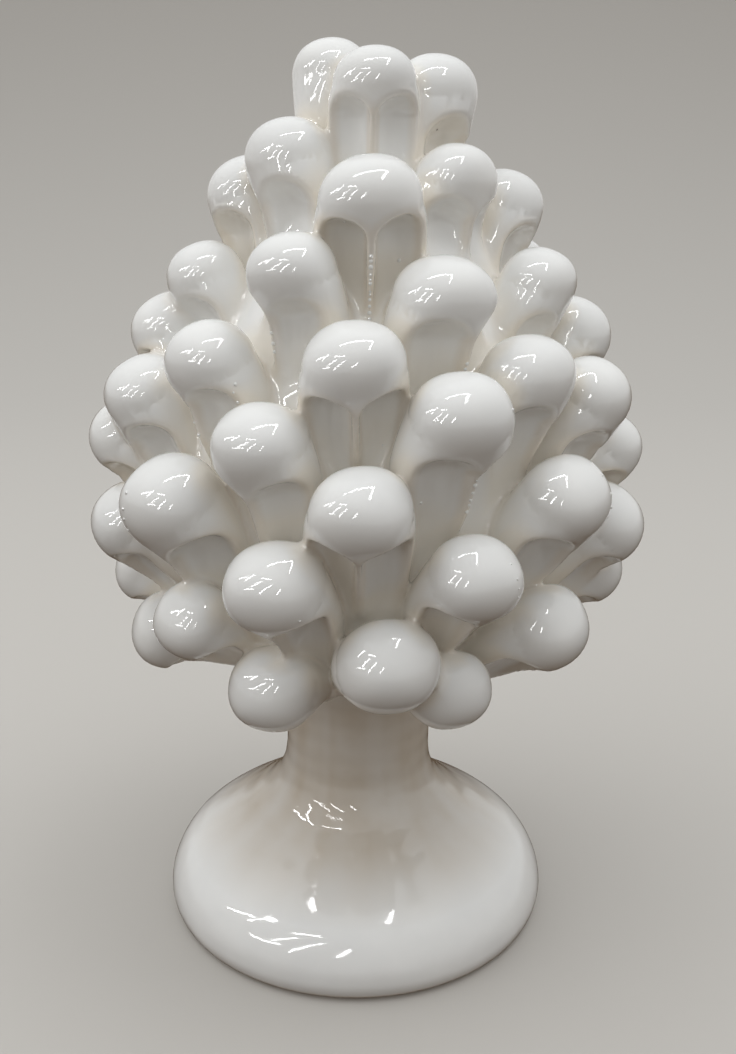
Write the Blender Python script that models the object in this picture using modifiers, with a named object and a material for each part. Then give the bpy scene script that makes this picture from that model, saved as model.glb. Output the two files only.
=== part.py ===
"""Pinecone finial: a thrown cone set with thumb-shaped clay scales, on a neck and a bell foot.

The whole is one fired piece, so it is one solid. The real ware is thrown hollow and closed below, and the
solid stands for it. Metres, +Z up, front towards -Y, standing on its foot.
"""

import math

import bmesh
import bpy
import numpy as np
from mathutils import Matrix, Vector

NAME = "pinecone_finial"
MM = 0.001

# The foot and neck, turned on the wheel
NECK_RADIUS = 26.0 * MM
NECK_TOP = 86.0 * MM
FOOT_X = -4.0 * MM

# The low dome of the foot, from the foot of the neck out and round the rim: radius and height
DOME_PROFILE = (
    (26.0, 60.0),
    (26.9, 53.5),
    (29.6, 47.2),
    (34.0, 42.0),
    (40.0, 36.9),
    (47.0, 32.0),
    (54.0, 27.4),
    (60.0, 23.2),
    (64.6, 18.8),
    (67.8, 13.6),
    (69.4, 8.8),
    (69.6, 4.8),
    (68.3, 1.5),
    (64.6, 0.0),
)

# The flared top of the neck, hidden in the cone, from the axis out: radius and height
LUTED_TOP = ((0.0, 102.0), (34.0, 100.0))

# The cone leans a little to one side, from just above the foot
LEAN = 0.030
LEAN_FROM = 35.0 * MM

# The thrown body under the scales: height and radius at its turning points
CORE_PROFILE = (
    (280.0, 0.0),
    (276.0, 9.0),
    (262.0, 18.0),
    (240.0, 33.0),
    (210.0, 50.0),
    (175.0, 62.0),
    (145.0, 63.0),
    (118.0, 56.0),
    (101.0, 42.0),
    (94.0, 28.0),
    (91.0, 0.0),
)

# One scale: a round head drawn out below into a tapering tongue. Its outlines are superellipses, a little
# squarer than an ellipse: the first power is for its cross-section, the second for the top of its head
HEAD_WIDE = 14.0 * MM
HEAD_DEEP = 12.8 * MM
HEAD_TALL = 12.3 * MM
TONGUE_LENGTH = 46.0 * MM
SECTION_POWER = 2.2
CROWN_POWER = 2.15

# Pressing spreads the tongue sideways by this share, most of it within this length below the head's middle
SPREAD = 0.18
SPREAD_OVER = 6.0 * MM

# The two fingertips pressed in side by side under each head: the depth of their floor from the scale's own
# axis, how flat their ends are, half of the keel that is left between them, and their length and slope
FINGER_FLOOR = 2.6 * MM
FINGER_FLATNESS = 0.85
KEEL = 1.0 * MM
FINGER_LENGTH = 60.0 * MM
FINGER_SLOPE = 0.10

# Each ring of scales from the top down: height and reach of the head's middle, rise of its axis above the
# level, and the share of its width that the tongue keeps. Then its scales: azimuth from the front, lift
# above the ring, half width of the head, how far below the head's middle the fingertips reach, how far
# round the scale's own axis they are turned, and their radius
RINGS = (
    (
        (284, 16.5, 84, 0.85),
        (
            (-112, 5, 13, 3.5, -42, 7.8), (-7, 1, 12.5, 2.5, 6, 7.4), (92, -2, 15, 4.5, -18, 11),
            (178, -1, 13, 4.5, -5, 8.5),
        ),
    ),
    (
        (261, 30.5, 78, 0.85),
        (
            (-64, 3, 14, 3, 4, 11.5), (50, -4, 13, 2, -10, 10), (152, 0, 13.5, 3, 12, 9),
        ),
    ),
    (
        (251, 42, 74, 0.85),
        (
            (-102, 2, 14.5, 2, 20, 11), (-3, 1, 15, 0.8, 4, 7.2), (100, -2, 14, 2, -12, 11),
            (-157, 0, 14, 1.5, 8, 8),
        ),
    ),
    (
        (228, 54, 70, 0.85),
        (
            (-81, 0, 13.5, 1.5, 8, 11), (-26, 5, 13, 1, -22, 11.5), (21, -3, 15, -2, 22, 11.5),
            (68, -1, 13, 3.5, -2, 11), (120, 0, 14, 1.5, -12, 8), (172, 1, 14, 2.5, 14, 10.5),
            (-131, 0, 14, 1.5, 5, 9),
        ),
    ),
    (
        (207, 66, 66, 0.8),
        (
            (-88, 4, 14, 1.5, 5, 9), (-46, 0, 14, 0.5, -8, 11), (-5, 2, 14.5, 2.5, 8, 7.4),
            (43, -4, 14.5, 0.5, 18, 11), (90, 2, 14, 1.5, -5, 10), (137, 0, 14, 0.5, 14, 8),
            (180, 1, 14, 2, -14, 10.5), (-134, -1, 14, 1, 4, 8),
        ),
    ),
    (
        (192, 74, 61, 0.8),
        (
            (-73, 1, 14.5, 3.5, 10, 10.5), (-25, -5, 14, 2.5, -6, 11.5), (19, 3, 15, 2.5, 20, 11),
            (65, 2, 14, 3, 6, 11), (112, 0, 14, 1.5, 10, 8.5), (157, -1, 14, 1, -8, 11),
            (-157, 1, 14, 2, 12, 8), (-114, 0, 14, 1.5, -10, 10),
        ),
    ),
    (
        (170, 79.5, 54, 0.75),
        (
            (-84, 7, 14.5, 1.5, 0, 9.5), (-47, -3, 16, 4, 14, 11.5), (-2, 1, 14.5, 1.5, 0, 7.8),
            (46, -2, 14.5, 3, 6, 11), (88, 2, 14, 1.5, -10, 10.5), (135, 1, 14.5, 0.5, 8, 8),
            (180, 0, 14, 1.5, 0, 10.5), (-132, 0, 14, 2, -12, 8.5),
        ),
    ),
    (
        (150, 80, 46, 0.7),
        (
            (-72, 2, 14.5, 1.5, 0, 8.2), (-19, -2, 15, 1.5, 0, 8.2), (22, 0, 14, 1.5, 0, 8.2),
            (73, 1, 15, 1.5, 0, 8.2), (115, 0, 14, 2, 12, 9.5), (157, 0, 14.5, 1.5, -8, 8),
            (-157, 0, 14, 1, 8, 10), (-115, 0, 14.5, 1.5, 0, 8.2),
        ),
    ),
    (
        (127, 76, 32, 0.6),
        (
            (-94, -1, 14, 1.5, 0, 8.2), (-43, 3, 13, 1.5, 0, 8.2), (5, -3, 15, 1.5, 0, 8.2),
            (47, -1, 14.5, 1.5, 0, 8.2), (84, 4, 14.5, 1.5, 0, 8.2), (132, 0, 14, 1.5, 8, 9),
            (177, 0, 14, 1.5, -8, 8), (-138, 0, 14, 1.5, 6, 9.5),
        ),
    ),
    (
        (110, 69, 16, 0.5),
        (
            (-70, 4, 14, 1.5, 0, 8.2), (-23, 1, 14, 1.5, 0, 8.2), (22, 1, 13, 1.5, 0, 8.2),
            (64, 6, 12, 1.5, 0, 8.2), (112, 0, 14, 1.5, 0, 8.2), (157, 1, 14, 1.5, 0, 8.2),
            (-157, 0, 14, 1.5, 0, 8.2), (-113, -1, 14, 1.5, 0, 8.2),
        ),
    ),
)

# How finely each scale and each fingertip is modelled: steps round it, and from end to end
THUMB_STEPS = (24, 20)
FINGER_STEPS = (20, 16)

# How finely the thrown shapes are modelled: steps round them, and points down their sides
TURNED_STEPS = 36
DOME_POINTS = 18
CORE_POINTS = 20

# How the scales grow into one skin: grid, smoothing passes, thickness of the glaze, and triangles kept
VOXEL = 0.9 * MM
SOFTENINGS = 2
GLAZE_COAT = 0.6 * MM
CONE_TRIANGLES = 8300


def clear_scene():
    for old in list(bpy.data.objects):
        bpy.data.objects.remove(old, do_unlink=True)


def new_collection(name):
    collection = bpy.data.collections.new(name)
    bpy.context.scene.collection.children.link(collection)
    return collection


def new_object(name, mesh, collection):
    obj = bpy.data.objects.new(name, mesh)
    collection.objects.link(obj)
    return obj


def helper(obj):
    obj.hide_render = True
    obj.display_type = "WIRE"
    return obj


def evaluated_mesh(obj, name):
    """A plain mesh of the object with its modifiers applied."""
    graph = bpy.context.evaluated_depsgraph_get()
    mesh = bpy.data.meshes.new_from_object(obj.evaluated_get(graph))
    mesh.name = name
    return mesh


def turned(name, profile, collection):
    """A closed body turned about Z from (radius, height) points that run down its outer side."""
    mesh = bpy.data.meshes.new(name)
    points = [(radius, 0.0, height) for radius, height in profile]
    edges = [(i, i + 1) for i in range(len(points) - 1)]
    mesh.from_pydata(points, edges, [])
    obj = helper(new_object(name, mesh, collection))
    screw = obj.modifiers.new("turn", "SCREW")
    screw.axis = "Z"
    screw.steps = TURNED_STEPS
    screw.render_steps = TURNED_STEPS
    screw.use_merge_vertices = True
    screw.merge_threshold = 0.00001
    return obj


def smooth_through(points, count):
    """A curve through the points, read at even steps: each coordinate as a Hermite spline of chord length."""
    points = np.array(points, float)
    chord = np.r_[0, np.cumsum(np.linalg.norm(np.diff(points, axis=0), axis=1))]
    slope = np.gradient(points, chord, axis=0)
    at = np.linspace(0, chord[-1], count)
    i = np.clip(np.searchsorted(chord, at, side="right") - 1, 0, len(points) - 2)
    span = (chord[i + 1] - chord[i])[:, None]
    t = ((at - chord[i])[:, None]) / span
    return (
        (2 * t**3 - 3 * t**2 + 1) * points[i]
        + (t**3 - 2 * t**2 + t) * span * slope[i]
        + (3 * t**2 - 2 * t**3) * points[i + 1]
        + (t**3 - t**2) * span * slope[i + 1]
    )


def stand_profile():
    """The outer side of neck and foot: straight neck, soft fillet, low dome, rounded rim, flat rest."""
    top = [(radius * MM, height * MM) for radius, height in LUTED_TOP] + [(NECK_RADIUS, NECK_TOP)]
    dome = smooth_through([(radius * MM, height * MM) for radius, height in DOME_PROFILE], DOME_POINTS)
    return top + [tuple(point) for point in dome] + [(0.0, 0.0)]


def core_profile():
    return smooth_through([(radius * MM, height * MM) for height, radius in CORE_PROFILE], CORE_POINTS)


def thumb_mesh(kept, size):
    """The unpressed scale: +Z to its tip, +X to its front, its head's middle at the origin."""
    bm = bmesh.new()
    bmesh.ops.create_uvsphere(bm, u_segments=THUMB_STEPS[0], v_segments=THUMB_STEPS[1], radius=1)
    for vert in bm.verts:
        x, y, z = vert.co
        wide = math.hypot(x, y)
        square = 1.0
        if wide > 0:
            square = wide / (abs(x) ** SECTION_POWER + abs(y) ** SECTION_POWER) ** (1 / SECTION_POWER)
        if z < 0:
            along = math.asin(min(1.0, -z)) / (math.pi / 2)
            ring = (1 - (1 - kept) * along) * math.sqrt(1 - along**6) / max(wide, 1e-6)
            height = -along * TONGUE_LENGTH
            spread = 1 + SPREAD * (1 - math.exp(height / SPREAD_OVER))
        else:
            ring = 1 / (wide**CROWN_POWER + z**CROWN_POWER) ** (1 / CROWN_POWER)
            height = z * ring * HEAD_TALL
            spread = 1.0
        deep = x * ring * square * HEAD_DEEP
        across = y * ring * square * HEAD_WIDE * spread
        vert.co = (deep * size, across * size, height * size)
    mesh = bpy.data.meshes.new("thumb")
    bm.to_mesh(mesh)
    bm.free()
    return mesh


def fingertip_mesh(side, radius, below):
    """A fingertip: a flattened ball drawn out downwards into a rod, where it presses into the thumb."""
    bm = bmesh.new()
    bmesh.ops.create_uvsphere(bm, u_segments=FINGER_STEPS[0], v_segments=FINGER_STEPS[1], radius=radius)
    # Half a step below the middle of the ball, so that the ring of vertices at its middle stays
    middle = -0.5 * radius / FINGER_STEPS[1]
    for vert in bm.verts:
        vert.co.z *= FINGER_FLATNESS
        if vert.co.z < middle:
            vert.co.z -= FINGER_LENGTH
            vert.co.x += FINGER_SLOPE * FINGER_LENGTH
    where = Vector((FINGER_FLOOR + radius, side * (KEEL + radius), -below - FINGER_FLATNESS * radius))
    bmesh.ops.translate(bm, verts=bm.verts, vec=where)
    mesh = bpy.data.meshes.new("fingertip")
    bm.to_mesh(mesh)
    bm.free()
    return mesh


def pressed_scale(kept, size, below, twist, radius, collection):
    """One scale with its two fingertips pressed out of it."""
    thumb = helper(new_object("thumb", thumb_mesh(kept, size), collection))
    for side in (-1, 1):
        finger = helper(new_object("fingertip", fingertip_mesh(side, radius, below), collection))
        finger.rotation_euler.z = math.radians(twist)
        press = thumb.modifiers.new("press", "BOOLEAN")
        press.operation = "DIFFERENCE"
        press.solver = "EXACT"
        press.object = finger
    bpy.context.view_layer.update()
    return evaluated_mesh(thumb, "scale")


def scale_matrix(azimuth, height, reach, rise):
    turn = math.radians(azimuth)
    tilt = math.radians(rise)
    out = Vector((math.sin(turn), -math.cos(turn), 0))
    right = Vector((math.cos(turn), math.sin(turn), 0))
    up = Vector((0, 0, 1))
    tip = out * math.cos(tilt) + up * math.sin(tilt)
    front = out * math.sin(tilt) - up * math.cos(tilt)
    rotation = Matrix((front, right, tip)).transposed().to_4x4()
    return Matrix.Translation(out * reach * MM + up * height * MM) @ rotation


def scaled_cone(collection):
    """The thrown body with every scale on it, in one mesh of many overlapping bodies."""
    core = turned("core", core_profile(), collection)
    bpy.context.view_layer.update()
    bm = bmesh.new()
    bm.from_mesh(evaluated_mesh(core, "core_turned"))
    for (height, reach, rise, kept), scales in RINGS:
        for azimuth, lift, half_width, below, twist, finger in scales:
            size = half_width * MM / HEAD_WIDE
            scale = pressed_scale(kept, size, below * MM, twist, finger * MM, collection)
            scale.transform(scale_matrix(azimuth, height + lift, reach, rise))
            bm.from_mesh(scale)
    mesh = bpy.data.meshes.new("scaled_cone")
    bm.to_mesh(mesh)
    bm.free()
    return helper(new_object("scaled_cone", mesh, collection))


def fused(obj, collection):
    """The overlapping bodies grown into one skin, softened where they meet, coated with glaze and thinned."""
    remesh = obj.modifiers.new("fuse", "REMESH")
    remesh.mode = "VOXEL"
    remesh.voxel_size = VOXEL
    soften = obj.modifiers.new("soften", "SMOOTH")
    soften.factor = 0.5
    soften.iterations = SOFTENINGS
    coat = obj.modifiers.new("coat", "DISPLACE")
    coat.strength = GLAZE_COAT
    coat.mid_level = 0.0
    bpy.context.view_layer.update()
    mesh = evaluated_mesh(obj, "fused")
    largest_body(mesh)
    cone = helper(new_object("cone", mesh, collection))
    cone.modifiers.new("triangles", "TRIANGULATE")
    thin = cone.modifiers.new("thin", "DECIMATE")
    thin.ratio = CONE_TRIANGLES / (2 * len(mesh.polygons))
    return cone


def largest_body(mesh):
    """Drops the specks of air that are shut in between the scales."""
    bm = bmesh.new()
    bm.from_mesh(mesh)
    left = set(bm.verts)
    bodies = []
    while left:
        body = set()
        reached = [left.pop()]
        while reached:
            vert = reached.pop()
            body.add(vert)
            for edge in vert.link_edges:
                other = edge.other_vert(vert)
                if other in left:
                    left.remove(other)
                    reached.append(other)
        bodies.append(body)
    bodies.sort(key=len)
    for body in bodies[:-1]:
        bmesh.ops.delete(bm, geom=list(body), context="VERTS")
    bm.to_mesh(mesh)
    bm.free()


def white_glaze():
    material = bpy.data.materials.new("white_glaze")
    material.use_nodes = True
    shader = material.node_tree.nodes["Principled BSDF"]
    shader.inputs["Base Color"].default_value = (0.83, 0.83, 0.81, 1)
    shader.inputs["Roughness"].default_value = 0.12
    shader.inputs["Metallic"].default_value = 0.0
    return material


def lean(mesh):
    """Sets the foot over its place and leans what is above it."""
    for vert in mesh.vertices:
        vert.co.x += FOOT_X + LEAN * max(0.0, vert.co.z - LEAN_FROM)


def main():
    clear_scene()
    parts = new_collection(NAME)
    cutters = new_collection("cutters")
    cone = fused(scaled_cone(cutters), cutters)
    stand = turned("stand", stand_profile(), cutters)
    join = stand.modifiers.new("luted", "BOOLEAN")
    join.operation = "UNION"
    join.solver = "EXACT"
    join.object = cone
    bpy.context.view_layer.update()
    mesh = evaluated_mesh(stand, NAME)
    lean(mesh)
    mesh.materials.clear()
    mesh.materials.append(white_glaze())
    mesh.shade_smooth()
    new_object(NAME, mesh, parts)


main()
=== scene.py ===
"""White glazed ceramic pinecone on a neck and bell foot, on a pale floor in soft studio light."""

import math

import bpy
import numpy as np
from mathutils import Matrix


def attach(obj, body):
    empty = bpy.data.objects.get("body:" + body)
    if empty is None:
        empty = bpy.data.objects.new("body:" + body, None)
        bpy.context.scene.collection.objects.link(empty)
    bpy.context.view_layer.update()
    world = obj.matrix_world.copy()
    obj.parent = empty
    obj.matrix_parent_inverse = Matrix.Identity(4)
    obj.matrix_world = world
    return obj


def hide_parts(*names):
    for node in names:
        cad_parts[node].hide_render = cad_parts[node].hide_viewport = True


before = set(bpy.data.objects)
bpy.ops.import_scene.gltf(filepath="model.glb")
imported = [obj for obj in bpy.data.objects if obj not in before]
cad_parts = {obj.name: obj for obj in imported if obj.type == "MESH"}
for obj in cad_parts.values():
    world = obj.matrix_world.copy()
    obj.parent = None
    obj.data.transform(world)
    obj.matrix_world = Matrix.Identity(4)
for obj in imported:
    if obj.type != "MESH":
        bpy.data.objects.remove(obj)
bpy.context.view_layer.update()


# The thrown body: a hollow cone on a neck and a bell foot, thrown on the wheel in white earthenware and
# luted together while damp. One outline turned about the axis gives all three. The foot stands 4 mm to
# the left of the middle, and from just above it the ware leans a little to the right. Millimetres.
MM = 0.001
NECK_RADIUS = 26.0
CONE_TOP = 280.0
FOOT_READINGS = 300
CONE_READINGS = 400
FOOT_X = -4.0
LEAN = 0.030
LEAN_FROM = 35.0
LEAST_SLANT = 0.2


def smooth_through(points, count):
    """A curve through the points, read at even steps: each coordinate is a cubic Hermite spline over the
    length of the chords, with the slope at a point taken from its two neighbours."""
    points = np.array(points, float)
    chord = np.r_[0, np.cumsum(np.linalg.norm(np.diff(points, axis=0), axis=1))]
    slope = np.gradient(points, chord, axis=0)
    at = np.linspace(0, chord[-1], count)
    i = np.clip(np.searchsorted(chord, at, side="right") - 1, 0, len(points) - 2)
    span = (chord[i + 1] - chord[i])[:, None]
    t = (at - chord[i])[:, None] / span
    return (
        (2 * t**3 - 3 * t**2 + 1) * points[i]
        + (t**3 - 2 * t**2 + t) * span * slope[i]
        + (3 * t**2 - 2 * t**3) * points[i + 1]
        + (t**3 - t**2) * span * slope[i + 1]
    )


outline = np.concatenate(
    (
        smooth_through(
            (
                (64.6, 0),
                (68.3, 1.5),
                (69.6, 4.8),
                (69.4, 8.8),
                (67.8, 13.6),
                (64.6, 18.8),
                (60, 23.2),
                (54, 27.4),
                (47, 32),
                (40, 36.9),
                (34, 42),
                (29.6, 47.2),
                (26.9, 53.5),
                (NECK_RADIUS, 60),
            ),
            FOOT_READINGS,
        ),
        smooth_through(
            (
                (NECK_RADIUS, 62),
                (NECK_RADIUS, 84),
                (28, 92),
                (42, 101),
                (56, 118),
                (63, 145),
                (62, 175),
                (50, 210),
                (33, 240),
                (18, 262),
                (9, 276),
                (0, CONE_TOP),
            ),
            CONE_READINGS,
        ),
    )
)
outline_slant = 1 / np.hypot(1, np.gradient(outline[:, 0], outline[:, 1]))


def thrown_depth(at):
    """How far each point lies outside the thrown body, and below nought inside it: its radius less the
    outline's radius at its height, square to the slanting side, cut off flat at the rest and the top."""
    radius = np.hypot(at[:, 0], at[:, 1])
    side = radius - np.interp(at[:, 2], outline[:, 1], outline[:, 0])
    side *= np.maximum(np.interp(at[:, 2], outline[:, 1], outline_slant), LEAST_SLANT)
    return np.maximum(side, np.maximum(-at[:, 2], at[:, 2] - CONE_TOP))


# The scales: thumbs of soft clay rolled by hand, each with a round head drawn out into a tongue. The
# tongue is slipped onto the cone, and two fingertips press it home side by side, which leaves two arched
# dents under the head with a keel between them. They are set in ten rings, sixty-six in all.
HEAD_WIDE = 14.0
HEAD_DEEP = 12.8
HEAD_TALL = 12.3
TONGUE_LENGTH = 46.0
SECTION_POWER = 2.2
CROWN_POWER = 2.15
SPREAD = 0.18
SPREAD_OVER = 6.0
FINGER_FLOOR = 2.6
FINGER_FLATNESS = 0.85
KEEL = 1.0
FINGER_LENGTH = 60.0
FINGER_SLOPE = 0.10
PRESSED_EDGE = 2.2

# Each ring of scales from the top down: height and reach of the head's middle, rise of its axis above the
# level, and the share of its width that the tongue keeps. Then its scales: azimuth from the front, lift
# above the ring, half width of the head, how far below the head's middle the fingertips reach, how far
# round the scale's own axis they are turned, and their radius
RINGS = (
    (
        (284, 16.5, 84, 0.85),
        (
            (-112, 5, 13, 3.5, -42, 7.8), (-7, 1, 12.5, 2.5, 6, 7.4), (92, -2, 15, 4.5, -18, 11),
            (178, -1, 13, 4.5, -5, 8.5),
        ),
    ),
    (
        (261, 30.5, 78, 0.85),
        (
            (-64, 3, 14, 3, 4, 11.5), (50, -4, 13, 2, -10, 10), (152, 0, 13.5, 3, 12, 9),
        ),
    ),
    (
        (251, 42, 74, 0.85),
        (
            (-102, 2, 14.5, 2, 20, 11), (-3, 1, 15, 0.8, 4, 7.2), (100, -2, 14, 2, -12, 11),
            (-157, 0, 14, 1.5, 8, 8),
        ),
    ),
    (
        (228, 54, 70, 0.85),
        (
            (-81, 0, 13.5, 1.5, 8, 11), (-26, 5, 13, 1, -22, 11.5), (21, -3, 15, -2, 22, 11.5),
            (68, -1, 13, 3.5, -2, 11), (120, 0, 14, 1.5, -12, 8), (172, 1, 14, 2.5, 14, 10.5),
            (-131, 0, 14, 1.5, 5, 9),
        ),
    ),
    (
        (207, 66, 66, 0.8),
        (
            (-88, 4, 14, 1.5, 5, 9), (-46, 0, 14, 0.5, -8, 11), (-5, 2, 14.5, 2.5, 8, 7.4),
            (43, -4, 14.5, 0.5, 18, 11), (90, 2, 14, 1.5, -5, 10), (137, 0, 14, 0.5, 14, 8),
            (180, 1, 14, 2, -14, 10.5), (-134, -1, 14, 1, 4, 8),
        ),
    ),
    (
        (192, 74, 61, 0.8),
        (
            (-73, 1, 14.5, 3.5, 10, 10.5), (-25, -5, 14, 2.5, -6, 11.5), (19, 3, 15, 2.5, 20, 11),
            (65, 2, 14, 3, 6, 11), (112, 0, 14, 1.5, 10, 8.5), (157, -1, 14, 1, -8, 11),
            (-157, 1, 14, 2, 12, 8), (-114, 0, 14, 1.5, -10, 10),
        ),
    ),
    (
        (170, 79.5, 54, 0.75),
        (
            (-84, 7, 14.5, 1.5, 0, 9.5), (-47, -3, 16, 4, 14, 11.5), (-2, 1, 14.5, 1.5, 0, 7.8),
            (46, -2, 14.5, 3, 6, 11), (88, 2, 14, 1.5, -10, 10.5), (135, 1, 14.5, 0.5, 8, 8),
            (180, 0, 14, 1.5, 0, 10.5), (-132, 0, 14, 2, -12, 8.5),
        ),
    ),
    (
        (150, 80, 46, 0.7),
        (
            (-72, 2, 14.5, 1.5, 0, 8.2), (-19, -2, 15, 1.5, 0, 8.2), (22, 0, 14, 1.5, 0, 8.2),
            (73, 1, 15, 1.5, 0, 8.2), (115, 0, 14, 2, 12, 9.5), (157, 0, 14.5, 1.5, -8, 8),
            (-157, 0, 14, 1, 8, 10), (-115, 0, 14.5, 1.5, 0, 8.2),
        ),
    ),
    (
        (127, 76, 32, 0.6),
        (
            (-94, -1, 14, 1.5, 0, 8.2), (-43, 3, 13, 1.5, 0, 8.2), (5, -3, 15, 1.5, 0, 8.2),
            (47, -1, 14.5, 1.5, 0, 8.2), (84, 4, 14.5, 1.5, 0, 8.2), (132, 0, 14, 1.5, 8, 9),
            (177, 0, 14, 1.5, -8, 8), (-138, 0, 14, 1.5, 6, 9.5),
        ),
    ),
    (
        (110, 69, 16, 0.5),
        (
            (-70, 4, 14, 1.5, 0, 8.2), (-23, 1, 14, 1.5, 0, 8.2), (22, 1, 13, 1.5, 0, 8.2),
            (64, 6, 12, 1.5, 0, 8.2), (112, 0, 14, 1.5, 0, 8.2), (157, 1, 14, 1.5, 0, 8.2),
            (-157, 0, 14, 1.5, 0, 8.2), (-113, -1, 14, 1.5, 0, 8.2),
        ),
    ),
)


def joined(one, other, width):
    """The nearer of two depths, filleted where they are alike: less (width - their gap) squared over four
    widths."""
    gap = np.maximum(width - np.abs(one - other), 0)
    return np.minimum(one, other) - gap * gap / (4 * width)


def pressed(one, cutter, width):
    """The first shape with the second pressed out of it, its edge rounded the same way."""
    return -joined(-one, cutter, width)


def scale_depth(at, size, kept, below, twist, finger):
    """How far each point lies outside one scale, whose head is at the origin with its tip along +Z and
    its front along +X. Above, the head is a superellipsoid. Below, each cross-section is the same
    superellipse, spread sideways and shrunk by the taper, and closed in a sixth-power round end. A
    fingertip is a rod with a flattened ball for its end."""
    x, y, z = (at / size).T
    along = np.clip(-z / TONGUE_LENGTH, 0, 1)
    spread = 1 + SPREAD * (1 - np.exp(np.minimum(z, 0) / SPREAD_OVER))
    section = (
        np.abs(x / HEAD_DEEP) ** SECTION_POWER + np.abs(y / (HEAD_WIDE * spread)) ** SECTION_POWER
    ) ** (1 / SECTION_POWER)
    width = (1 - (1 - kept) * along) * np.sqrt(np.maximum(1 - along**6, 1e-4))
    head = (section**CROWN_POWER + np.abs(z / HEAD_TALL) ** CROWN_POWER) ** (1 / CROWN_POWER) - 1
    depth = size * HEAD_DEEP * np.where(z > 0, head, section - width)
    depth = np.maximum(depth, size * (-z - TONGUE_LENGTH))
    rod = np.array((FINGER_SLOPE * FINGER_LENGTH, 0, -FINGER_LENGTH))
    turn = math.radians(twist)
    about = np.array(((math.cos(turn), -math.sin(turn), 0), (math.sin(turn), math.cos(turn), 0), (0, 0, 1)))
    for side in (-1, 1):
        reach = at @ about
        reach -= (FINGER_FLOOR + finger, side * (KEEL + finger), -below - FINGER_FLATNESS * finger)
        reach[:, 2] /= np.where(reach[:, 2] > 0, FINGER_FLATNESS, 1)
        down = np.clip(reach @ rod / (rod @ rod), 0, 1)
        dent = np.linalg.norm(reach - down[:, None] * rod, axis=1) - finger
        depth = pressed(depth, dent, PRESSED_EDGE)
    return depth


def placed_scales():
    """Each scale's middle, its three directions as columns (front, right, tip), and its own measures:
    size, kept width, and the depth, twist and radius of the fingertips."""
    for (height, reach, rise, kept), scales in RINGS:
        tilt = math.radians(rise)
        for azimuth, lift, half_width, below, twist, finger in scales:
            turn = math.radians(azimuth)
            out = np.array((math.sin(turn), -math.cos(turn), 0))
            right = np.array((math.cos(turn), math.sin(turn), 0))
            up = np.array((0, 0, 1))
            tip = out * math.cos(tilt) + up * math.sin(tilt)
            front = out * math.sin(tilt) - up * math.cos(tilt)
            middle = out * reach + up * (height + lift)
            turned = np.stack((front, right, tip), axis=1)
            yield middle, turned, (half_width / HEAD_WIDE, kept, below, twist, finger)


# The glaze: one white coat poured over all of it, which rounds every edge and runs into a web wherever
# two scales touch. Sixty-six scales that grow into one another aren't one surface of two parameters, so
# the glaze is a net drawn over the points where the joined depths are nought.

# Widths of the webs between two scales, and between the scales and the body
WEB = 2.4
SOCKET = 4.0
# How far a scale reaches from its head's middle, and the depth where none is near
REACH_BESIDE = 28
REACH_ABOVE = 26
REACH_BELOW = 62
NOTHING_NEAR = 50.0
# The hand's unevenness: how much, over what lengths, and the heights between which it sets in
UNEVEN = 0.4
UNEVEN_OVER = np.array((6.1, 7.3, 5.7))
UNEVEN_FROM = np.array((0.7, 2.1, 1.3))
UNEVEN_ABOVE = 60
UNEVEN_BY = 90
# The net: its box, its coarse cells, how many times each is cut along an edge where the skin is near, and
# the triangles that it is thinned to
LOWEST = np.array((-96.0, -96.0, -4.0))
HIGHEST = np.array((96.0, 96.0, 304.0))
COARSE = 4.0
NEAR_ENOUGH = 1.6
FINE = 4
PACKED = 10**4
NET_TRIANGLES = 196000
# After the thinning each vertex is pulled back to the skin, twice
PULLS = 2
GENTLEST = 0.25
LONGEST_PULL = 0.6

scales = list(placed_scales())


def glaze_depth(at):
    """The depth of each point outside the whole ware: the body joined with every scale within reach."""
    at = at.copy()
    at[:, 0] -= FOOT_X + LEAN * np.maximum(0, at[:, 2] - LEAN_FROM)
    depth = thrown_depth(at)
    cone = np.full(len(at), NOTHING_NEAR)
    for middle, turned, measures in scales:
        local = (at - middle) @ turned
        beside = np.hypot(local[:, 0], local[:, 1]) < REACH_BESIDE
        near = np.nonzero(beside & (local[:, 2] < REACH_ABOVE) & (local[:, 2] > -REACH_BELOW))[0]
        cone[near] = joined(cone[near], scale_depth(local[near], *measures), WEB)
    # No two scales come alike off the hand, and the throwing leaves the foot itself true.
    uneven = np.prod(np.sin(at / UNEVEN_OVER + UNEVEN_FROM), axis=1)
    uneven *= np.interp(at[:, 2], (UNEVEN_ABOVE, UNEVEN_BY), (0, 1))
    return joined(depth, cone, SOCKET) + UNEVEN * uneven


def facing(at, reach=0.15):
    """The depth at each point and its slope, from four points of a tetrahedron about it."""
    corners = np.array(((1, 1, 1), (1, -1, -1), (-1, 1, -1), (-1, -1, 1)), float)
    depths = [glaze_depth(at + reach * corner) for corner in corners]
    slope = sum(depth[:, None] * corner for depth, corner in zip(depths, corners)) / (4 * reach)
    return sum(depths) / 4, slope


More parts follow.
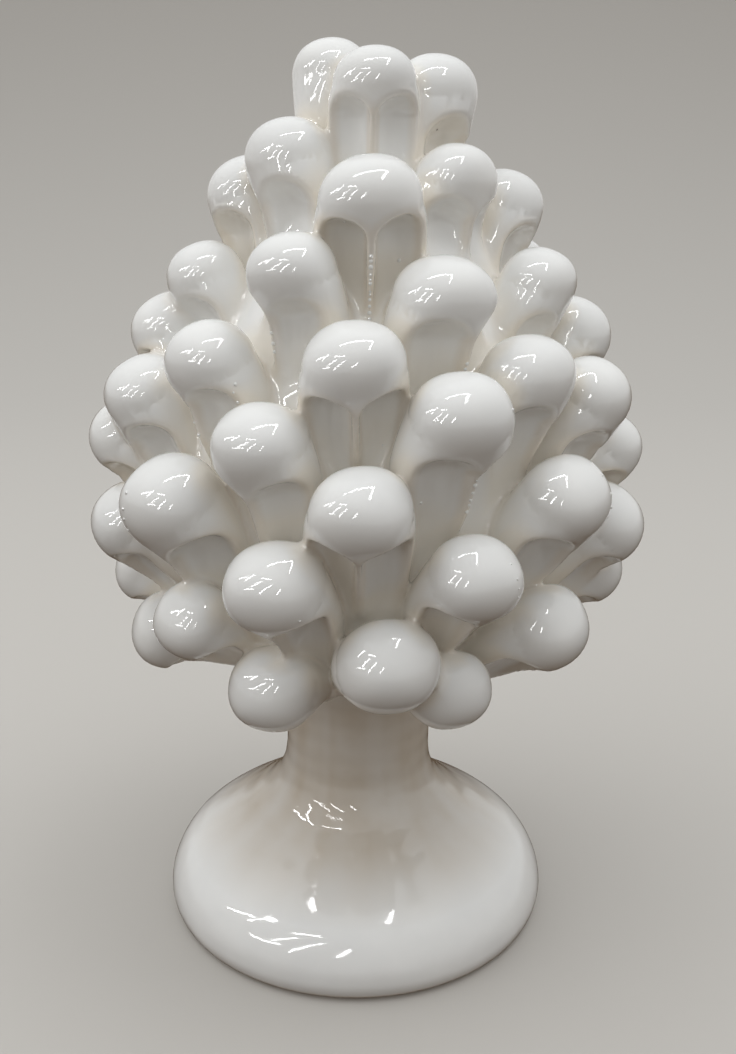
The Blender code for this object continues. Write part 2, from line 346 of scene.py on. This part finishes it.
def net_over(low, high):
    """A net of four-sided meshes: one vertex in each cell that the skin passes through, at the mean of
    the points where it crosses the cell's edges, and one mesh round each edge that it crosses."""
    count = np.ceil((high - low) / COARSE).astype(int)
    cells = np.stack(np.meshgrid(*[np.arange(n) for n in count], indexing="ij"), -1).reshape(-1, 3)
    middles = low + COARSE * (cells + 0.5)
    coarse = glaze_depth(middles)
    near = np.abs(coarse) < COARSE * NEAR_ENOUGH
    step = COARSE / FINE
    depth = np.full(count * FINE + 1, 1.0, np.float32)
    # Cells far from the skin keep one sign all over.
    blocks = depth[:-1, :-1, :-1].reshape(count[0], FINE, count[1], FINE, count[2], FINE)
    blocks[:] = np.where(coarse.reshape(count) < 0, -1.0, 1.0)[:, None, :, None, :, None]
    corners = np.stack(np.meshgrid(*[np.arange(FINE + 1)] * 3, indexing="ij"), -1).reshape(-1, 3)
    # Neighbouring cells share corners, so each point is packed into one number to be taken once.
    points = np.unique((cells[near][:, None] * FINE + corners).reshape(-1, 3) @ (1, PACKED, PACKED**2))
    points = np.stack((points % PACKED, points // PACKED % PACKED, points // PACKED**2), 1)
    depth[tuple(points.T)] = glaze_depth(low + step * points)
    shape = np.array(depth.shape)
    crossed, loops = [], []
    for axis in range(3):
        here = [slice(None)] * 3
        there = [slice(None)] * 3
        here[axis], there[axis] = slice(0, -1), slice(1, None)
        a, b = depth[tuple(here)], depth[tuple(there)]
        edges = np.argwhere((a < 0) != (b < 0))
        a, b = a[tuple(edges.T)], b[tuple(edges.T)]
        at = edges.astype(float)
        at[:, axis] += a / (a - b)
        u, v = (np.eye(3, dtype=int)[(axis + k) % 3] for k in (1, 2))
        ring = np.stack((edges, edges - u, edges - u - v, edges - v), 1)
        ring = ring @ (shape[1] * shape[2], shape[2], 1)
        crossed.append((ring, at))
        loops.append(np.where((a < 0)[:, None], ring, ring[:, ::-1]))
    cell_of = np.concatenate([ring.reshape(-1) for ring, at in crossed])
    where = np.concatenate([np.repeat(at, 4, axis=0) for ring, at in crossed])
    crossed_cells, index = np.unique(cell_of, return_inverse=True)
    tally = np.bincount(index)
    vertices = np.stack([np.bincount(index, where[:, k]) / tally for k in range(3)], 1)
    loops = np.searchsorted(crossed_cells, np.concatenate(loops))
    return low + step * vertices, loops


def largest_body(vertices, loops):
    """The net without the specks of air shut in between scales: each vertex takes the lowest number it
    can reach along the meshes, and only the commonest number stays."""
    label = np.arange(len(vertices))
    while True:
        lowest = label[loops].min(axis=1)
        spread = label.copy()
        for corner in range(loops.shape[1]):
            np.minimum.at(spread, loops[:, corner], lowest)
        spread = spread[spread]
        if (spread == label).all():
            break
        label = spread
    kept = label == np.bincount(label).argmax()
    number = np.cumsum(kept) - 1
    return vertices[kept], number[loops[kept[loops[:, 0]]]]


def mesh_of(name, vertices, loops):
    """A mesh from arrays of vertices in millimetres and of faces with equal numbers of corners."""
    mesh = bpy.data.meshes.new(name)
    mesh.vertices.add(len(vertices))
    mesh.vertices.foreach_set("co", (vertices * MM).astype(np.float32).ravel())
    mesh.loops.add(loops.size)
    mesh.loops.foreach_set("vertex_index", loops.ravel().astype(np.int32))
    mesh.polygons.add(len(loops))
    mesh.polygons.foreach_set("loop_start", np.arange(0, loops.size, loops.shape[1], dtype=np.int32))
    mesh.update(calc_edges=True)
    mesh.validate()
    return mesh


net = mesh_of("net", *largest_body(*net_over(LOWEST, HIGHEST)))
glaze = bpy.data.objects.new("glazed_pinecone", net)
bpy.context.scene.collection.objects.link(glaze)
glaze.modifiers.new("triangles", "TRIANGULATE")
thin = glaze.modifiers.new("thin", "DECIMATE")
thin.ratio = min(1, NET_TRIANGLES / (2 * len(net.polygons)))
skin = bpy.data.meshes.new_from_object(glaze.evaluated_get(bpy.context.evaluated_depsgraph_get()))
glaze.modifiers.clear()
glaze.data = skin
vertices = np.empty(3 * len(skin.vertices))
skin.vertices.foreach_get("co", vertices)
vertices = vertices.reshape(-1, 3) / MM
for pull in range(PULLS):
    depth, slope = facing(vertices)
    steep = np.maximum((slope**2).sum(axis=1), GENTLEST)
    vertices -= np.clip(depth / steep, -LONGEST_PULL, LONGEST_PULL)[:, None] * slope
vertices[:, 2] = np.maximum(vertices[:, 2], 0)
skin.vertices.foreach_set("co", (vertices * MM).astype(np.float32).ravel())
normals = facing(vertices)[1]
normals /= np.linalg.norm(normals, axis=1)[:, None]
skin.shade_smooth()
skin.update()
skin.normals_split_custom_set_from_vertices(normals)

# Where the glaze lies in a hollow it is thicker, and creamier, and the warm shade that falls there is
# painted
# in with it: how far short of open air the depth falls at two distances out from the skin.
HOLLOW_AT = (5.0, 14.0)
hollow = sum(1 - glaze_depth(vertices + far * normals) / far for far in HOLLOW_AT) / len(HOLLOW_AT)
skin.attributes.new("hollow", "FLOAT", "POINT").data.foreach_set("value", np.clip(hollow, 0, 1))
# Over a sharp crest it runs thin and the clay shows through: how near the far side is, just under the
# skin.
CREST_UNDER = 2.5
crest = 1 + glaze_depth(vertices - CREST_UNDER * normals) / CREST_UNDER
skin.attributes.new("crest", "FLOAT", "POINT").data.foreach_set("value", np.clip(crest, 0, 1))

glaze_white = bpy.data.materials.new("white_glaze")
glaze_white.use_nodes = True
nodes, links = glaze_white.node_tree.nodes, glaze_white.node_tree.links
shader = nodes["Principled BSDF"]
shader.inputs["IOR"].default_value = 1.52
place = nodes.new("ShaderNodeTexCoord").outputs["Object"]


def value(kind, **settings):
    """A node of that kind, with each socket set to a plain value or linked to another node's output."""
    node = nodes.new("ShaderNode" + kind)
    for name, setting in settings.items():
        if hasattr(node, name):
            setattr(node, name, setting)
            continue
        index = int(name[1:]) if name[0] == "i" and name[1:].isdigit() else name.replace("_", " ")
        if isinstance(setting, bpy.types.NodeSocket):
            links.new(setting, node.inputs[index])
        else:
            node.inputs[index].default_value = setting
    return node


def ramp(factor, low, high, lowest=0.0, highest=1.0):
    """The factor stretched from low..high to lowest..highest."""
    return value(
        "MapRange", Value=factor, From_Min=low, From_Max=high, To_Min=lowest, To_Max=highest
    ).outputs[0]


def blend(factor, one, other):
    """A colour between two, which may be plain or linked."""
    return value("Mix", data_type="RGBA", i0=factor, i6=one, i7=other).outputs[2]


def product(one, other):
    """The two factors multiplied."""
    return value("Math", operation="MULTIPLY", i0=one, i1=other).outputs[0]


# The tone: a cool opaque white that goes cream in the hollows, partly thicker glaze and partly painted warm
# shade, clouded a little where it ran thick
cloud = value("TexNoise", Vector=place, Scale=38.0, Detail=3.0).outputs[0]
in_hollow = value("Attribute", attribute_name="hollow").outputs["Fac"]
# Cream in the hollows: the thicker glaze's own colour together with painted warm shade
pooled_cream_and_shade = ramp(in_hollow, 0.32, 0.85)
white = blend(ramp(cloud, 0.3, 0.7), (0.80, 0.805, 0.80, 1), (0.86, 0.862, 0.85, 1))
tone = blend(pooled_cream_and_shade, white, (0.85, 0.82, 0.76, 1))
on_crest = value("Attribute", attribute_name="crest").outputs["Fac"]
tone = blend(ramp(on_crest, 0.12, 0.60, 0.0, 0.4), tone, (0.68, 0.59, 0.47, 1))

# Painted shade under the overhanging cone: a warm shade on the white of the neck and a little way down the
# foot
height = value("SeparateXYZ", Vector=place).outputs["Z"]
shaded_neck = product(ramp(height, 0.105, 0.085), ramp(height, 0.022, 0.038))
shaded_neck = product(shaded_neck, ramp(cloud, 0.35, 0.60, 0.65, 1.0))
# The painted shade is streaked where the glaze ran down, the same all the way out from the foot's own axis
from_axis = value("VectorMath", operation="ADD", i0=place, i1=(-FOOT_X * MM, 0, 0)).outputs[0]
level = value("VectorMath", operation="MULTIPLY", i0=from_axis, i1=(1, 1, 0)).outputs[0]
bearing = value("VectorMath", operation="NORMALIZE", i0=level).outputs[0]
runs = value("TexNoise", Vector=bearing, Scale=3.5, Detail=1.0).outputs[0]
shaded_neck = product(shaded_neck, ramp(runs, 0.3, 0.7, 0.75, 1.0))
tone = blend(product(shaded_neck, 0.95), tone, (0.59, 0.52, 0.43, 1))

# Pinholes: a few of the cells of a fine froth hold a dark dot
froth = value("TexVoronoi", Vector=place, Scale=95.0)
rare = ramp(value("SeparateColor", Color=froth.outputs["Color"]).outputs[0], 0.95, 0.96)
pin = product(ramp(froth.outputs["Distance"], 0.05, 0.025), rare)
tone = blend(product(pin, 0.75), tone, (0.22, 0.16, 0.10, 1))

# The foot stood on the kiln's shelf, so its underside was wiped dry: bare clay in the lowest millimetre
bare = ramp(height, 0.0009, 0.0004)
tone = blend(bare, tone, (0.62, 0.50, 0.38, 1))
links.new(tone, shader.inputs["Base Color"])
dull = value("TexNoise", Vector=place, Scale=160.0, Detail=4.0).outputs[0]
gloss = value("Math", operation="ADD", i0=ramp(dull, 0.35, 0.75, 0.035, 0.085), i1=product(bare, 0.6))
links.new(gloss.outputs[0], shader.inputs["Roughness"])

# The skin of the glaze: long soft waves from the pouring, throwing rings on the neck and the top of the
# foot, a fine orange peel, the pinholes, and the grain of the bare clay
waves = value("TexNoise", Vector=place, Scale=70.0, Detail=1.0).outputs[0]
peel = value("TexNoise", Vector=place, Scale=420.0, Detail=2.0).outputs[0]
grain = value("TexNoise", Vector=place, Scale=1500.0, Detail=3.0).outputs[0]
rings = value("TexWave", bands_direction="Z", Vector=place, Scale=45.0, Distortion=2.5, Detail=2.0)
relief = value("Bump", Height=waves, Distance=0.00035, Strength=1.0)
for raised, height_of in (
    (product(rings.outputs["Fac"], shaded_neck), 0.0002),
    (peel, 0.000014),
    (pin, -0.0004),
    (product(grain, bare), 0.0002),
):
    relief = value("Bump", Height=raised, Distance=height_of, Strength=1.0, Normal=relief.outputs[0])
links.new(relief.outputs[0], shader.inputs["Normal"])
skin.materials.clear()
skin.materials.append(glaze_white)
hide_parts("pinecone_finial")
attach(glaze, "root")


# The nibs: beads of glaze that gathered and froze along the thin crests between two presses, where it drew
# back from the edge, and a few stray ones. Each is a ball sunk part way into the glaze.

# Crests: ring, scale in it, how far down its tongue they start and end, and their number
CRESTS = (
    (2, 1, -11, -38, 17),
    (3, 1, -14, -34, 8),
    (3, 2, -13, -30, 9),
    (4, 1, -14, -32, 6),
    (5, 2, -12, -34, 10),
    (4, 3, -16, -30, 5),
)
# Stray ones: height, and azimuth from the front
STRAYS = (
    (247, -12), (236, 9), (204, -17), (199, 27), (186, 3), (176, -31),
    (171, 12), (158, 38), (143, -12), (222, -33), (212, 33),
)
# The beads: their radius, the ranges that it is scaled by, how far one strays from its even place, how deep
# it sits as a share of its radius, and how far out it starts from a scale's axis or from the ware's
NIB = 0.55
CREST_NIBS = (0.6, 1.25)
STRAY_NIBS = (0.6, 1.1)
APART = 0.5
SUNK = 0.3
OUTSIDE_SCALE = 20
OUTSIDE_ALL = 110
chance = np.random.default_rng(7)
starts, inward, sizes = [], [], []
for ring, number, top, low, count in CRESTS:
    before = sum(len(placed) for measures, placed in RINGS[:ring])
    middle, turned, measures = scales[before + number]
    twist = math.radians(measures[3])
    ahead = turned @ (math.cos(twist), math.sin(twist), 0)
    down = np.linspace(top, low, count) + chance.uniform(-APART, APART, count)
    starts += list(middle + OUTSIDE_SCALE * ahead + down[:, None] * turned[:, 2])
    inward += [-ahead] * count
    sizes += list(NIB * chance.uniform(*CREST_NIBS, count))
for height, azimuth in STRAYS:
    out = np.array((math.sin(math.radians(azimuth)), -math.cos(math.radians(azimuth)), 0))
    starts.append(OUTSIDE_ALL * out + (0, 0, height))
    inward.append(-out)
    sizes.append(NIB * chance.uniform(*STRAY_NIBS))
starts, inward, sizes = np.array(starts), np.array(inward), np.array(sizes)
starts[:, 0] += FOOT_X + LEAN * (starts[:, 2] - LEAN_FROM)
# Each is walked inward by most of its depth outside the glaze, until it lies on the skin
STRIDES = 60
STRIDE = 0.7
BACKWARD, FORWARD = -1, 3
gone = np.zeros(len(starts))
for stride in range(STRIDES):
    gone += STRIDE * np.clip(glaze_depth(starts + gone[:, None] * inward), BACKWARD, FORWARD)
found = starts + gone[:, None] * inward
found -= SUNK * sizes[:, None] * facing(found)[1]
# A ball without poles: the six sides of a cube, welded at its edges and drawn out to the sphere
EDGE_POINTS = 5
u, v = np.meshgrid(*[np.linspace(-1, 1, EDGE_POINTS)] * 2, indexing="ij")
sides = [
    np.roll(np.stack((u, way * v, way * np.ones_like(u)), 2), axis, axis=2)
    for axis in range(3)
    for way in (-1, 1)
]
ball, weld = np.unique(np.round(np.concatenate(sides).reshape(-1, 3), 6), axis=0, return_inverse=True)
ball /= np.linalg.norm(ball, axis=1)[:, None]
weld = weld.reshape(6, EDGE_POINTS, EDGE_POINTS)
patch = np.stack((weld[:, :-1, :-1], weld[:, 1:, :-1], weld[:, 1:, 1:], weld[:, :-1, 1:]), 3).reshape(-1, 4)
balls = found[:, None] + sizes[:, None, None] * ball
patches = patch + len(ball) * np.arange(len(found))[:, None, None]
nib_mesh = mesh_of("nibs", balls.reshape(-1, 3), patches.reshape(-1, 4))
nib_mesh.shade_smooth()
nib_mesh.materials.append(glaze_white)
nibs = bpy.data.objects.new("glaze_nibs", nib_mesh)
bpy.context.scene.collection.objects.link(nibs)
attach(nibs, "root")


# The floor: one long sheet of plain pale paper, laid flat under the ware and swept up behind it in a wide
# curve, so that no line shows where it leaves the level. It throws no light back on the ware, because the
# surround stands for the room that the ware was photographed in. Metres.
PAPER_FRONT = -1.5
PAPER_TOP = 4.0
PAPER_SIDE = 3.0
SWEEP_FROM = 0.9
SWEEP_RADIUS = 1.2
SWEEP_POINTS = 24
bend = np.linspace(0, math.pi / 2, SWEEP_POINTS)
paper = np.concatenate(
    (
        ((PAPER_FRONT, 0),),
        np.c_[SWEEP_FROM + SWEEP_RADIUS * np.sin(bend), SWEEP_RADIUS * (1 - np.cos(bend))],
        ((SWEEP_FROM + SWEEP_RADIUS, PAPER_TOP),),
    )
)
left = np.c_[np.full(len(paper), -PAPER_SIDE), paper]
first = np.arange(len(paper) - 1)
strips = np.stack((first, first + len(paper), first + len(paper) + 1, first + 1), 1)
floor_mesh = bpy.data.meshes.new("floor")
floor_mesh.from_pydata(np.concatenate((left, left * (-1, 1, 1))).tolist(), [], strips.tolist())
floor_mesh.shade_smooth()
floor = bpy.data.objects.new("floor", floor_mesh)
bpy.context.scene.collection.objects.link(floor)
floor_paint = bpy.data.materials.new("floor_paint")
floor_paint.use_nodes = True
shader = floor_paint.node_tree.nodes["Principled BSDF"]
shader.inputs["Base Color"].default_value = (0.52, 0.50, 0.47, 1)
shader.inputs["Roughness"].default_value = 0.7
floor_mesh.materials.append(floor_paint)
floor.visible_diffuse = False
floor.visible_glossy = False


# The studio: a pale surround, dark and warm below and brighter overhead, with wide soft lamps that light
# the ware and don't show in it, and thin bare tubes that only show, as the strokes on every head in the
# photo. Directions are in degrees, round from the front and above the level.
SURROUND = (
    (0.36, (0.050, 0.028, 0.011, 1)),
    (0.46, (0.088, 0.058, 0.030, 1)),
    (0.52, (0.47, 0.462, 0.446, 1)),
    (0.72, (0.48, 0.48, 0.474, 1)),
    (0.95, (0.68, 0.688, 0.69, 1)),
)
SURROUND_STRENGTH = 1.34
world = bpy.data.worlds.new("studio")
bpy.context.scene.world = world
world.use_nodes = True
nodes, links = world.node_tree.nodes, world.node_tree.links
where = nodes.new("ShaderNodeTexCoord")
height = nodes.new("ShaderNodeSeparateXYZ")
half = nodes.new("ShaderNodeMapRange")
half.inputs["From Min"].default_value = -1
shade = nodes.new("ShaderNodeValToRGB")
while len(shade.color_ramp.elements) < len(SURROUND):
    shade.color_ramp.elements.new(0.5)
for stop, (place, colour) in zip(shade.color_ramp.elements, SURROUND):
    stop.position, stop.color = place, colour
links.new(where.outputs["Generated"], height.inputs[0])
links.new(height.outputs["Z"], half.inputs["Value"])
links.new(half.outputs["Result"], shade.inputs["Fac"])
links.new(shade.outputs["Color"], nodes["Background"].inputs["Color"])
nodes["Background"].inputs["Strength"].default_value = SURROUND_STRENGTH

MIDDLE = np.array((0, 0, 0.15))
LAMPS_AWAY = 1.3


def towards(turn, rise):
    """The point on the sphere of lamps round the ware's middle that lies in this direction."""
    turn, rise = math.radians(turn), math.radians(rise)
    flat = LAMPS_AWAY * math.cos(rise)
    return MIDDLE + (flat * math.sin(turn), -flat * math.cos(turn), LAMPS_AWAY * math.sin(rise))


def lamp(name, start, end, width, glow, colour=(1, 1, 1), mirrored=True):
    """A rectangle of light from start to end, turned to the ware, whose power is pi times glow times area.
    A mirrored one shows in the glaze alone, and any other lights the ware and doesn't show in it."""
    start, end = np.array(start), np.array(end)
    length = np.linalg.norm(end - start)
    light = bpy.data.lights.new(name, "AREA")
    light.shape = "RECTANGLE"
    light.size, light.size_y = length, width
    light.energy = math.pi * glow * length * width
    light.color = colour
    x = (end - start) / length
    z = (start + end) / 2 - MIDDLE
    z -= z @ x * x
    z /= np.linalg.norm(z)
    matrix = np.eye(4)
    matrix[:3, 0], matrix[:3, 1], matrix[:3, 2], matrix[:3, 3] = x, np.cross(z, x), z, (start + end) / 2
    body = bpy.data.objects.new(name, light)
    body.matrix_world = Matrix(matrix)
    body.visible_glossy = mirrored
    body.visible_diffuse = not mirrored
    body.visible_camera = False
    bpy.context.scene.collection.objects.link(body)


TUBE = (0.05, 26)
SHORT_TUBE = (0.042, 24)
lamp("bar", towards(75, 73), towards(-58, 64), *TUBE)
lamp("stem", towards(75, 72), towards(26, 57), *TUBE)
DASHES = (
    ((-88, 22), (-70, 36)),
    ((-70, 26), (-62, 44)),
    ((-52, 18), (-38, 36)),
    ((-46, 42), (-24, 44)),
    ((-30, 22), (-20, 34)),
    ((-10, 14), (-2, 27)),
    ((-62, 12), (-44, 17)),
    ((-36, 10), (-30, 22)),
)
for number, (start, end) in enumerate(DASHES):
    lamp(f"dash_{number}", towards(*start), towards(*end), *SHORT_TUBE)
lamp("window", towards(-115, 46), towards(-50, 46), 0.7, 1.1, (1, 0.998, 0.99), mirrored=False)
lamp("doorway", towards(50, 62), towards(125, 62), 0.7, 1.6, (0.98, 0.99, 1), mirrored=False)
lamp("hall", towards(-110, 12), towards(-50, 12), 0.6, 0.6, mirrored=False)
lamp("stairs", towards(65, 12), towards(115, 12), 0.6, 0.4, mirrored=False)
lamp("skylight", (-0.7, 0.15, 1.6), (0.5, 0.15, 1.6), 0.9, 0.45, (0.98, 0.99, 1), mirrored=False)
bpy.context.scene.view_settings.view_transform = "Standard"


# The camera: where the photo was taken from, found by fitting a pinhole camera to the ware's outline. It
# looks slightly down from close by, and the frame is moved sideways to put the foot where the photo has it.
CAMERA_BACK = 0.371
CAMERA_HEIGHT = 0.260
CAMERA_PITCH = 17.6
FOCAL_PIXELS = 1115
FRAME_PIXELS = (736, 1054)
AXIS_PIXEL = 355.7
lens = bpy.data.cameras.new("camera")
lens.sensor_fit = "VERTICAL"
lens.sensor_height = 36
lens.lens = FOCAL_PIXELS / FRAME_PIXELS[1] * lens.sensor_height
lens.shift_x = (FRAME_PIXELS[0] / 2 - AXIS_PIXEL) / FRAME_PIXELS[1]
lens.clip_start = 0.01
camera = bpy.data.objects.new("camera", lens)
camera.location = (FOOT_X * MM, -CAMERA_BACK, CAMERA_HEIGHT)
camera.rotation_euler = (math.radians(90 - CAMERA_PITCH), 0, 0)
bpy.context.scene.collection.objects.link(camera)
bpy.context.scene.camera = camera
